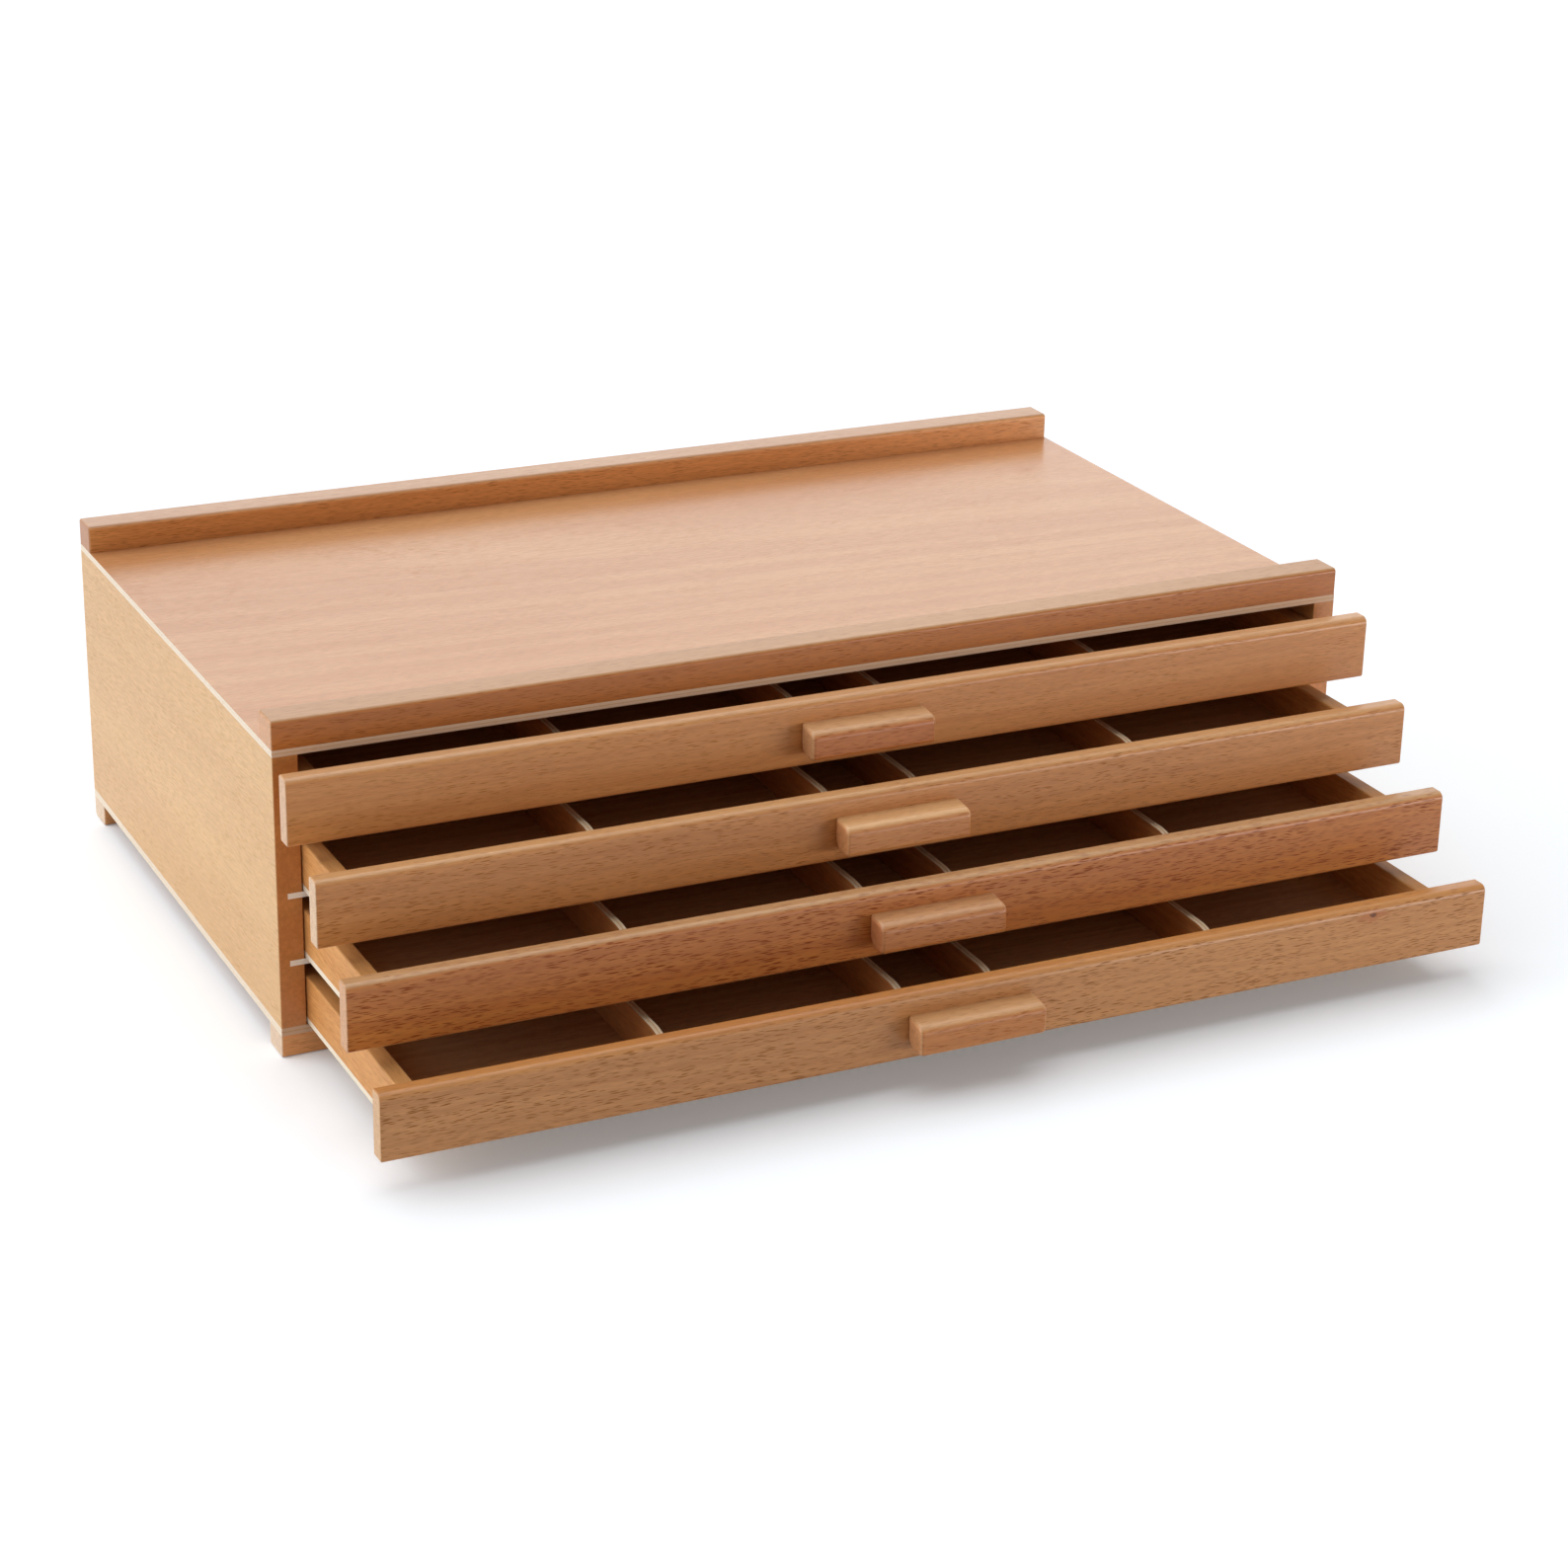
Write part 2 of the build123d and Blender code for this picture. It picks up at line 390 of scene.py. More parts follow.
@dataclass(frozen=True)
class SolidBeech:
    """Steamed European beech, planed, sanded and thinly lacquered.

    Steaming gives the warm pinkish tan. The eye sees short dark ray dashes on flat-sawn faces, soft
    growth-ring bands and a satin sheen. Each facing has a colour of its own, and these colours are
    partly painted light: faces towards the front carry painted shade, deeper and more saturated,
    while tops, and the ends of the fronts, are painted paler.

    Attributes:
        pale, deep: the flat-sawn face between the growth rings and in them.
        edge_pale, edge_deep: the same on quarter-sawn edges, with painted light in it.
        end, end_shade: the end grain, partly painted light, and the linear factor that darkens its
            streaks.
        ray, ray_strength, ray_reach: the rays' colour, how dark they are and how wide.
        ring_width, figure: width of the growth rings, in metres, and how much they show.
        fibres, sway: how much the fine fibres show, and how far they wander, in metres.
        pore_depth, pore_rim: brightness in the pores and between them.
        relief, edge_radius: depth of the relief and radius of the arrises, in metres.
    """

    pale: str = "#DDA571"
    deep: str = "#C98A55"
    edge_pale: str = "#C9956C"
    edge_deep: str = "#B9845A"
    end: str = "#E6C8A8"
    ray: str = "#8F5530"
    ray_strength: float = 0.5
    ray_reach: float = 0.37
    ring_width: float = 3.2 * MM
    figure: float = 0.3
    fibres: float = 0.35
    sway: float = 5.0 * MM
    end_shade: Colour = (0.6, 0.52, 0.44, 1.0)
    pore_depth: float = 0.91
    pore_rim: float = 1.06
    roughness: float = 0.33
    gloss: float = 0.5
    relief: float = 0.03 * MM
    edge_radius: float = 0.25 * MM
    knot: Knot | None = None

    def pattern(
        self, shader: Shader, grain: Socket, facings: tuple[Socket, Socket]
    ) -> tuple[Socket, Socket]:
        """Builds the wood's colour and its relief in grain coordinates.

        Args:
            shader: the material under construction.
            grain: coordinates with the grain along X.
            facings: masks of flat-sawn face and of end grain.

        Returns:
            The colour, and a relief height that is lowest in the rays.
        """
        flat, end = facings
        wander = shader.noise(grain, Pattern.SWAY, 2.0, "Color")
        centred = shader.vector_math("SUBTRACT", wander, (0.5, 0.5, 0.5))
        swayed = shader.vector_math("MULTIPLY_ADD", centred, (0.0, self.sway, self.sway), grain)
        streaks = shader.noise(swayed, Pattern.STREAK, 4.0)
        tone = shader.noise(grain, Pattern.TONE, 1.0)
        bands = shader.times(self._rings(shader, swayed), self.figure)
        for layer in (streaks, tone):
            bands = shader.plus(bands, shader.times(shader.ramp(layer, *SOFT), self.fibres))
        # Painted light: each facing has its own colour, which stands partly for how light falls on
        # it: painted shade on faces towards the front, painted light on tops. Over a rounded arris
        # the blend paints a soft light band.
        face = shader.blend(bands, linear(self.pale), linear(self.deep))
        edge = shader.blend(bands, linear(self.edge_pale), linear(self.edge_deep))
        colour = shader.blend(flat, edge, face)
        # The end grain's colour also holds painted light: paler on the fronts' lit ends, painted
        # shade on the sides' front edges.
        sawn_streaks = shader.ramp(streaks, *FIRM, 0.0, 0.3)
        sawn = shader.blend(sawn_streaks, linear(self.end), self.end_shade, "MULTIPLY")
        colour = shader.blend(end, colour, sawn)
        # On the other faces the rays would lie broadside and pale, so they are held back there.
        rays = shader.times(self._rays(shader, swayed), shader.ramp(flat, 0.0, 1.0, 0.35, 1.0))
        colour = shader.blend(shader.times(rays, self.ray_strength), colour, linear(self.ray))
        pores = shader.noise(swayed, Pattern.PORE, 2.0)
        speckle = shader.ramp(pores, *FIRM, self.pore_depth, self.pore_rim)
        colour = shader.vector_math("MULTIPLY", colour, speckle)
        height = shader.plus(shader.times(rays, -0.5), shader.times(pores, 0.5))
        return colour, height

    def _rings(self, shader: Shader, point: Socket) -> Socket:
        """Draws growth rings: bands of uneven width round a pith that runs along the grain.

        Args:
            shader: the material under construction.
            point: coordinates with the grain along X.

        Returns:
            A mask from 0 to 1, dark wood at 1.
        """
        across = shader.vector_math("MULTIPLY", point, (0.0, 1.0, 1.0))
        radius = shader.vector_math("LENGTH", across, output="Value")
        band = shader.add(
            "ShaderNodeTexNoise",
            {"W": radius, "Scale": 1 / self.ring_width, "Detail": 2.0},
            noise_dimensions="1D",
        )
        return shader.ramp(band.outputs["Fac"], *FIRM)

    def _rays(self, shader: Shader, point: Socket) -> Socket:
        """Draws rays: flat lenses about 5 mm long, denser in some patches than in others.

        Args:
            shader: the material under construction.
            point: coordinates with the grain along X.

        Returns:
            A mask from 0 to 1, rays at 1.
        """
        masks = []
        for pattern, reach in (
            (Pattern.LONG_RAY, self.ray_reach),
            (Pattern.SHORT_RAY, self.ray_reach - 0.03),
        ):
            cells = shader.add(
                "ShaderNodeTexVoronoi",
                {"Vector": shader.stretched(point, pattern.value), "Scale": 1.0, "Randomness": 1.0},
                feature="F1",
            )
            masks.append(shader.ramp(cells.outputs["Distance"], reach, reach * 0.35))
        patches = shader.ramp(shader.noise(point, Pattern.RAY_DRIFT, 1.0), 0.3, 0.62, 0.55, 1.0)
        return shader.times(shader.math("MAXIMUM", *masks), patches)

    def material(
        self, name: str, cut: Cut, place: LogPlace, tilt: float = 0.0
    ) -> bpy.types.Material:
        """Makes the finish for one piece.

        Args:
            name: the material's name.
            cut: how the piece was cut.
            place: where in the log it was cut.
            tilt: turn of the grain in the face, in degrees.

        Returns:
            The material.
        """
        shader = Shader(name)
        point, normal = shader.coordinates()
        grain = shader.grain_space(point, cut, place, tilt)
        colour, height = self.pattern(shader, grain, shader.facings(normal, cut))
        if self.knot:
            colour = self.knot.mark(shader, point, colour)
        # Lacquer sinks into the rays, so they are duller than the wood round them.
        roughness = shader.ramp(height, 0.0, 0.5, self.roughness + 0.06, self.roughness - 0.04)
        gloss = shader.ramp(height, -0.25, 0.1, self.gloss * 0.3, self.gloss)
        return shader.close(colour, roughness, height, self.relief, self.edge_radius, gloss)


@dataclass(frozen=True)
class FacedPly:
    """Thin plywood faced with beech veneer, its edges sawn and left open.

    The eye sees veneer grain on the faces, and on the edges pale outer plies with a darker core.

    Attributes:
        core_share: share of the thickness that the core takes up.
        core_on_ends, core_in_front: how much the core shows on edges to the side and to the front.
        sawn_in_front: how much of sawn_across lies over the edges to the front.
    """

    face: SolidBeech
    edge_pale: str = "#EDDFCC"
    edge_core: str = "#B98D63"
    sawn_across: str = "#C99B72"
    core_share: float = 0.22
    core_on_ends: float = 0.12
    core_in_front: float = 0.75
    sawn_in_front: float = 0.7
    edge_roughness: float = 0.7
    relief: float = 0.04 * MM

    def material(
        self,
        name: str,
        cut: Cut,
        place: LogPlace,
        low: float,
        thickness: float,
        tilt: float = 0.0,
        slope: float = 0.0,
    ) -> bpy.types.Material:
        """Makes the finish for one flat sheet that lies level.

        Args:
            name: the material's name.
            cut: how the face veneer was cut.
            place: where in the log it was cut.
            low: height of the sheet's underside, in metres.
            thickness: thickness of the sheet, in metres.
            tilt: turn of the grain in the face, in degrees.
            slope: turn of the grain out of the face, in degrees.

        Returns:
            The material.
        """
        shader = Shader(name)
        point, normal = shader.coordinates()
        grain = shader.grain_space(point, cut, place, tilt, slope)
        veneer = self.face.pattern(shader, grain, shader.facings(normal, cut))
        depth = shader.ramp(shader.component(point, "Z"), low, low + thickness)
        upright = shader.math("ABSOLUTE", shader.component(normal, "Z"))
        in_front = shader.math("ABSOLUTE", shader.component(normal, "Y"))
        core = shader.ramp(in_front, 0.3, 0.8, self.core_on_ends, self.core_in_front)
        layers = self.layers(shader, point, depth, core)
        sawn = shader.ramp(in_front, 0.3, 0.8, 0.0, self.sawn_in_front)
        layers = shader.blend(sawn, layers, linear(self.sawn_across))
        return self.close(shader, veneer, layers, shader.ramp(upright, 0.75, 0.45))

    def layers(
        self, shader: Shader, point: Socket, depth: Socket, core_strength: NodeValue
    ) -> Socket:
        """Colours the open edge: pale plies on both sides of a darker core.

        Args:
            shader: the material under construction.
            point: the piece's coordinates, for the fine fibres.
            depth: place in the sheet's thickness, from 0 to 1.
            core_strength: how much the core's darker end grain shows.

        Returns:
            The edge's colour.
        """
        fibres = shader.noise(point, Pattern.SAWN_FIBRE, 3.0)
        wobble = shader.ramp(fibres, *WIDE, -0.06, 0.06)
        centred = shader.plus(shader.plus(depth, wobble), -0.5)
        off_middle = shader.math("ABSOLUTE", centred)
        core = shader.ramp(off_middle, self.core_share / 2 + 0.06, self.core_share / 2 - 0.04)
        seen = shader.times(core, core_strength)
        plies = shader.blend(seen, linear(self.edge_pale), linear(self.edge_core))
        fleck = shader.ramp(fibres, 0.58, 0.72, 0.0, 0.35)
        return shader.blend(fleck, plies, linear(self.edge_core))

    def close(
        self, shader: Shader, veneer: tuple[Socket, Socket], layers: Socket, is_edge: Socket
    ) -> bpy.types.Material:
        """Joins the veneered faces and the open edges in one surface.

        Args:
            shader: the material under construction.
            veneer: the faces' colour and relief height.
            layers: the edges' colour.
            is_edge: mask that is 1 on the edges and 0 on the faces.

        Returns:
            The finished material.
        """
        face, height = veneer
        colour = shader.blend(is_edge, face, layers)
        roughness = shader.ramp(is_edge, 0.0, 1.0, self.face.roughness, self.edge_roughness)
        return shader.close(
            colour, roughness, height, self.relief, self.face.edge_radius, self.face.gloss
        )


@dataclass
class DividerSet:
    """The four thin ply dividers of one drawer, made as one mesh.

    Attributes:
        height, end_height, curve_length: the top edge falls to end_height over curve_length.
        slot_depth: how far each end is let into the front or the back.
        ease, arris_angle: width of the sanded arrises, and the least angle that counts as one.
        weld: distance within which the points of the two faces are joined.
        columns: points along the top edge.
    """

    drawer: int
    thickness: float = 2.6 * MM
    height: float = 14.5 * MM
    end_height: float = 5.0 * MM
    curve_length: float = 19.0 * MM
    slot_depth: float = 1.5 * MM
    ease: float = 0.3 * MM
    arris_angle: float = 50.0
    weld: float = 0.01 * MM
    columns: int = 48

    def nodes(self) -> list[str]:
        """Names the CAD pieces that this set stands for."""
        return [f"drawer_{self.drawer}_divider_{number}" for number in (1, 2, 3, 4)]

    def tree(self) -> bpy.types.NodeTree:
        """Builds the tree that makes one divider and sets it at the places of all four.

        Returns:
            The geometry node tree, with the divider's sizes as named inputs.
        """
        tree = bpy.data.node_groups.new(f"dividers_{self.drawer}", "GeometryNodeTree")
        sizes = ("Length", "Height", "End height", "Curve length", "Slot", "Thickness")
        places = ("Outer place", "Inner place", "Front", "Floor")
        for name in sizes + places:
            tree.interface.new_socket(name, in_out="INPUT", socket_type="NodeSocketFloat")
        tree.interface.new_socket("Material", in_out="INPUT", socket_type="NodeSocketMaterial")
        tree.interface.new_socket("Geometry", in_out="OUTPUT", socket_type="NodeSocketGeometry")
        maker = TreeMaker(tree)
        given = maker.add("NodeGroupInput").outputs
        board = self._board(maker, given, self._profile(maker, given))
        spread = maker.add(
            "GeometryNodeInstanceOnPoints",
            {"Points": self._places(maker, given), "Instance": board},
        )
        real = maker.add("GeometryNodeRealizeInstances", {0: spread.outputs[0]})
        dressed = maker.add(
            "GeometryNodeSetMaterial",
            {"Geometry": real.outputs[0], "Material": given["Material"]},
        )
        maker.add("NodeGroupOutput", {"Geometry": dressed.outputs[0]})
        return tree

    def _profile(self, maker: TreeMaker, given: bpy.types.NodeOutputs) -> Socket:
        """Bends a flat grid of unit size to the divider's outline, seen from the side.

        The columns are spent on the two ends, where the top edge falls in an arc; one long face
        joins them.

        Args:
            maker: the tree under construction.
            given: the divider's sizes.

        Returns:
            The place of each of the grid's points.
        """
        step = maker.math
        corner = maker.add("GeometryNodeInputPosition").outputs[0]
        share = step("ADD", maker.component(corner, "X"), 0.5)
        from_end = step("MINIMUM", share, step("SUBTRACT", 1.0, share))
        reach = step("ADD", given["Curve length"], given["Slot"])
        half_share = (self.columns / 2 - 1) / (self.columns - 1)
        inward = step("DIVIDE", step("MULTIPLY", from_end, reach), half_share)
        along_end = step("SUBTRACT", inward, given["Slot"])
        is_front = step("LESS_THAN", share, 0.5)
        mirrored = step("SUBTRACT", given["Length"], along_end)
        along = step(
            "ADD",
            step("MULTIPLY", is_front, along_end),
            step("MULTIPLY", step("SUBTRACT", 1.0, is_front), mirrored),
        )
        # The arc's radius follows from its length and fall: 2 r fall = length² + fall².
        fall = step("SUBTRACT", given["Height"], given["End height"])
        squares = step(
            "ADD", step("POWER", given["Curve length"], 2.0), step("POWER", fall, 2.0)
        )
        radius = step("DIVIDE", squares, step("MULTIPLY", fall, 2.0))
        inside = step("MINIMUM", step("MAXIMUM", along_end, 0.0), given["Curve length"])
        run = step("SUBTRACT", given["Curve length"], inside)
        level = step(
            "SQRT", step("SUBTRACT", step("POWER", radius, 2.0), step("POWER", run, 2.0))
        )
        top = step("SUBTRACT", given["Height"], step("SUBTRACT", radius, level))
        upward = step("MULTIPLY", step("ADD", maker.component(corner, "Y"), 0.5), top)
        return maker.combined(
            X=step("MULTIPLY", given["Thickness"], -0.5),
            Y=step("ADD", along, given["Front"]),
            Z=step("ADD", upward, given["Floor"]),
        )

    def _board(self, maker: TreeMaker, given: bpy.types.NodeOutputs, profile: Socket) -> Socket:
        """Makes one divider about X = 0: the bent grid, thickened and closed.

        Args:
            maker: the tree under construction.
            given: the divider's sizes.
            profile: the place of each of the grid's points.

        Returns:
            The divider, with its place in the thickness, 0 to 1, stored as ply_depth.
        """
        sheet = maker.add(
            "GeometryNodeMeshGrid",
            {"Size X": 1.0, "Size Y": 1.0, "Vertices X": self.columns, "Vertices Y": 2},
        )
        shaped = maker.add(
            "GeometryNodeSetPosition", {"Geometry": sheet.outputs["Mesh"], "Position": profile}
        )
        board = maker.add(
            "GeometryNodeExtrudeMesh",
            {
                "Mesh": shaped.outputs[0],
                "Offset": maker.combined(X=given["Thickness"]),
                "Offset Scale": 1.0,
                "Individual": False,
            },
        )
        back = maker.add("GeometryNodeFlipFaces", {"Mesh": shaped.outputs[0]})
        closed = maker.add("GeometryNodeJoinGeometry")
        for part in (board.outputs["Mesh"], back.outputs[0]):
            maker.tree.links.new(part, closed.inputs[0])
        merged = maker.add(
            "GeometryNodeMergeByDistance", {"Geometry": closed.outputs[0], "Distance": self.weld}
        )
        across = maker.component(maker.add("GeometryNodeInputPosition").outputs[0], "X")
        depth = maker.math("ADD", maker.math("DIVIDE", across, given["Thickness"]), 0.5)
        marked = maker.add(
            "GeometryNodeStoreNamedAttribute",
            {"Geometry": merged.outputs[0], "Name": "ply_depth", "Value": depth},
            data_type="FLOAT",
            domain="POINT",
        )
        return marked.outputs[0]

    def _places(self, maker: TreeMaker, given: bpy.types.NodeOutputs) -> Socket:
        """Sets one point for each divider, in pairs that mirror each other.

        Args:
            maker: the tree under construction.
            given: the distances of the outer and the inner pair from the middle.

        Returns:
            Four points.
        """
        pairs = maker.add("GeometryNodeJoinGeometry")
        for place in (given["Outer place"], given["Inner place"]):
            line = maker.add(
                "GeometryNodeMeshLine",
                {
                    "Count": 2,
                    "Start Location": maker.combined(X=maker.math("MULTIPLY", place, -1.0)),
                    "Offset": maker.combined(X=maker.math("MULTIPLY", place, 2.0)),
                },
            )
            maker.tree.links.new(line.outputs[0], pairs.inputs[0])
        return pairs.outputs[0]

    def build(self, material: bpy.types.Material) -> bpy.types.Object:
        """Makes the dividers at their places in the drawer and puts them in the CAD ones' stead.

        Args:
            material: the finish of the dividers.

        Returns:
            The finished piece.
        """
        low_outer, high_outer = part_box(self.nodes()[0])
        low_inner, high_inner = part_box(self.nodes()[1])
        values = {
            "Length": high_outer.y - low_outer.y - 2 * self.slot_depth,
            "Height": self.height,
            "End height": self.end_height,
            "Curve length": self.curve_length,
            "Slot": self.slot_depth,
            "Thickness": self.thickness,
            "Outer place": -(low_outer.x + high_outer.x) / 2,
            "Inner place": -(low_inner.x + high_inner.x) / 2,
            "Front": low_outer.y + self.slot_depth,
            "Floor": low_outer.z,
            "Material": material,
        }
        name = f"drawer_{self.drawer}_dividers"
        piece = bpy.data.objects.new(name, bpy.data.meshes.new(name))
        bpy.context.scene.collection.objects.link(piece)
        maker = piece.modifiers.new("dividers", "NODES")
        maker.node_group = self.tree()
        for item in maker.node_group.interface.items_tree:
            if item.item_type == "SOCKET" and item.in_out == "INPUT":
                maker[item.identifier] = values[item.name]
        softener = piece.modifiers.new("arrises", "BEVEL")
        softener.width = self.ease
        softener.segments = 2
        softener.limit_method = "ANGLE"
        softener.angle_limit = math.radians(self.arris_angle)
        evaluated = piece.evaluated_get(bpy.context.evaluated_depsgraph_get())
        mesh = bpy.data.meshes.new_from_object(evaluated)
        piece.modifiers.clear()
        piece.data = mesh
        mesh.name = name
        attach(piece, f"drawer_{self.drawer}")
        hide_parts(*self.nodes())
        return piece


@dataclass(frozen=True)
class DividerPly:
    """Three-ply strip for the dividers, bare, its edges eased by sanding.

    The eye sees tan faces with fine straight grain, and a pale top edge with a thin darker core.
    """

    ply: FacedPly

    def material(self, name: str, place: LogPlace) -> bpy.types.Material:
        """Makes the finish for one drawer's dividers, whose place in the thickness is an attribute.

        Args:
            name: the material's name.
            place: where in the log the face veneer was cut.

        Returns:
            The material.
        """
        shader = Shader(name)
        point, normal = shader.coordinates()
        cut = Cut.ALONG_DEPTH_FACING_SIDE
        grain = shader.grain_space(point, cut, place)
        veneer = self.ply.face.pattern(shader, grain, shader.facings(normal, cut))
        depth = shader.add(
            "ShaderNodeAttribute", attribute_name="ply_depth", attribute_type="GEOMETRY"
        )
        sideways = shader.math("ABSOLUTE", shader.component(normal, "X"))
        layers = self.ply.layers(shader, point, depth.outputs["Fac"], self.ply.core_in_front)
        return self.ply.close(shader, veneer, layers, shader.ramp(sideways, 0.85, 0.6))


def dress(node: str, material: bpy.types.Material) -> None:
    """Gives a CAD piece its finish in place of the plain one.

    Args:
        node: the piece's name.
        material: the finish.
    """
    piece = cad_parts[node]
    for slot in piece.material_slots:
        slot.material = material
    log.info("%s dressed in %s", node, material.name)


PANEL_BEECH = SolidBeech(
    pale="#CA9666",
    deep="#BF8556",
    edge_pale="#C69669",
    edge_deep="#BC875B",
    ray="#9A6238",
    ray_strength=0.25,
    ring_width=12.0 * MM,
    figure=0.65,
    roughness=0.24,
    gloss=0.37,
)
BACK_BEECH = SolidBeech(pale="#D2A074", deep="#BE8A5C", ray_strength=0.4)
# The sides' end colour is painted shade on their front edges, darker and more saturated than the
# faces.
SIDE_BEECH = SolidBeech(
    pale="#DCAE6F",
    deep="#D1A063",
    edge_pale="#DCAE6F",
    edge_deep="#D1A063",
    end="#CA8547",
    ray="#A87242",
    ray_strength=0.25,
)
# Painted shade: the rails' faces towards the front are deeper and more saturated than their tops,
# and the foot rails' strong orange is painted shade saturation.
RAIL_BEECH = {
    "top_rail_front": SolidBeech(
        pale="#B96D25",
        deep="#A85D19",
        edge_pale="#B88754",
        edge_deep="#A87646",
        end="#D39966",
        ray="#7C4524",
        ray_strength=0.5,
    ),
    "top_rail_rear": SolidBeech(
        pale="#E9A15C",
        deep="#D48A46",
        edge_pale="#BB8D63",
        edge_deep="#AE7C53",
        end="#B87C4D",
        ray="#85502F",
        ray_strength=0.4,
    ),
    "foot_rail_front": SolidBeech(pale="#E9AD6C", deep="#DC9355", ray="#85502F", ray_strength=0.4),
    "foot_rail_rear": SolidBeech(pale="#E9AD6C", deep="#DC9355", ray="#85502F", ray_strength=0.4),
}
# Painted shade: the walls are darkened and made more orange for the shade inside the drawers.
WALL_BEECH = SolidBeech(
    pale="#DFA464",
    deep="#CA8A4B",
    edge_pale="#CE9960",
    edge_deep="#BF854B",
    ray="#9A6238",
    ray_strength=0.3,
    gloss=0.25,
    roughness=0.5,
)
# Painted shade: the dividers are darker and more saturated than the pale ply, for the shade in the
# compartments.
DIVIDER_FACE = SolidBeech(
    pale="#CD9058",
    deep="#B87843",
    edge_pale="#CD9058",
    edge_deep="#B87843",
    ray="#8F5E38",
    ray_strength=0.3,
    gloss=0.25,
    roughness=0.6,
)
PALE_PLY_FACE = SolidBeech(
    pale="#DEB282",
    deep="#C89768",
    edge_pale="#DEB282",
    edge_deep="#C89768",
    ray="#8F5E38",
    ray_strength=0.3,
    gloss=0.25,
    roughness=0.6,
)

# Each front and handle is a board of its own: the third front is the reddest and the most flecked.
# Their colours also carry painted light: the faces towards the front are painted in shade, deeper
# and more saturated, and the tops and the ends paler.
FRONT_BEECH = {
    1: SolidBeech(
        pale="#CA8B4D",
        deep="#B8733A",
        edge_pale="#CD9B6B",
        edge_deep="#BF8755",
        end="#D8AD85",
        ray="#925A20",
        ray_strength=0.6,
        ray_reach=0.33,
    ),
    2: SolidBeech(
        pale="#C5864C",
        deep="#B17037",
        edge_pale="#CA9864",
        edge_deep="#BB824F",
        end="#DDB993",
        ray="#864C16",
        ray_strength=0.7,
        ray_reach=0.35,
    ),
    3: SolidBeech(
        pale="#BD7634",
        deep="#A65C25",
        edge_pale="#C19568",
        edge_deep="#B58252",
        end="#D29C6C",
        ray="#7C3604",
        ray_strength=1.0,
        ray_reach=0.4,
    ),
    4: SolidBeech(
        pale="#C1874F",
        deep="#AE723D",
        edge_pale="#BD8241",
        edge_deep="#B06F33",
        end="#D7A977",
        ray="#844E16",
        ray_strength=0.95,
        ray_reach=0.37,
        knot=Knot((155.3 * MM, -158.9 * MM, 31.0 * MM)),
    ),
}
HANDLE_BEECH = {
    1: SolidBeech(
        pale="#B66B2E",
        deep="#A55921",
        edge_pale="#D0A072",
        edge_deep="#C08C5B",
        end="#D8A476",
        ray="#8A4A20",
        ray_strength=0.75,
    ),
    2: SolidBeech(
        pale="#C48349",
        deep="#B26E36",
        edge_pale="#DCAE7B",
        edge_deep="#CC9763",
        end="#DEA06D",
        ray="#8A4A20",
        ray_strength=0.55,
    ),
    3: SolidBeech(
        pale="#B57136",
        deep="#A45E27",
        edge_pale="#C18E61",
        edge_deep="#B37B4D",
        end="#CB885B",
        ray="#743612",
        ray_strength=0.75,
    ),
    4: SolidBeech(
        pale="#BD793C",
        deep="#AB662A",
        edge_pale="#C89868",
        edge_deep="#BA8453",
        end="#E2A674",
        ray="#8A4A20",
        ray_strength=0.55,
    ),
}


@dataclass
class Case:
    """The case: ply panels above and below, solid sides, rails and runner strips."""

    top_thickness: float = 2.4 * MM
    bottom_thickness: float = 2.8 * MM
    veneer_slope: float = 4.0
    veneer_tilt: float = -1.0
    side_tilt: float = -1.5

    def dress(self) -> None:
        """Dresses every piece of the case."""
        self._dress_panels()
        for number, side in enumerate(("left", "right")):
            place = LogPlace(1.3 + number, 0.16, 0.02 + 0.4 * number)
            finish = SIDE_BEECH.material(
                f"beech_{side}_side", Cut.ALONG_DEPTH_FACING_SIDE, place, self.side_tilt
            )
            dress(f"{side}_side_panel", finish)
        for number, (rail, beech) in enumerate(RAIL_BEECH.items()):
            place = LogPlace(0.9 + 0.7 * number, 0.14, 0.06 * number)
            dress(rail, beech.material(f"beech_{rail}", Cut.ALONG_WIDTH_FACING_FRONT, place))
        # Painted highlight: the runners' near-white edges and ends stand for the light that their
        # front ends catch.
        strip = FacedPly(
            PALE_PLY_FACE, edge_pale="#FFF8EC", edge_core="#E8D6BE", sawn_across="#FFF6E8"
        )
        for level in (1, 2, 3):
            low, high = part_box(f"runner_left_{level}")
            finish = strip.material(
                f"pale_ply_runner_{level}",
                Cut.ALONG_WIDTH_FACING_UP,
                LogPlace(0.2 * level, 0.1, 0.3),
                low.z,
                high.z - low.z,
            )
            for side in ("left", "right"):
                dress(f"runner_{side}_{level}", finish)

    def _dress_panels(self) -> None:
        """Dresses the ply panels above, below and behind."""
        ply = FacedPly(PANEL_BEECH)
        for number, (node, thickness) in enumerate(
            (("top_panel", self.top_thickness), ("bottom_panel", self.bottom_thickness))
        ):
            low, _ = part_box(node)
            finish = ply.material(
                f"beech_ply_{node}",
                Cut.ALONG_WIDTH_FACING_UP,
                LogPlace(0.31 + number, 0.05, 0.83 * number - 0.12),
                low.z,
                thickness,
                self.veneer_tilt,
                self.veneer_slope,
            )
            dress(node, finish)
        finish = BACK_BEECH.material(
            "beech_back_panel", Cut.ALONG_WIDTH_FACING_FRONT, LogPlace(2.7, 0.09, 0.1)
        )
        dress("back_panel", finish)


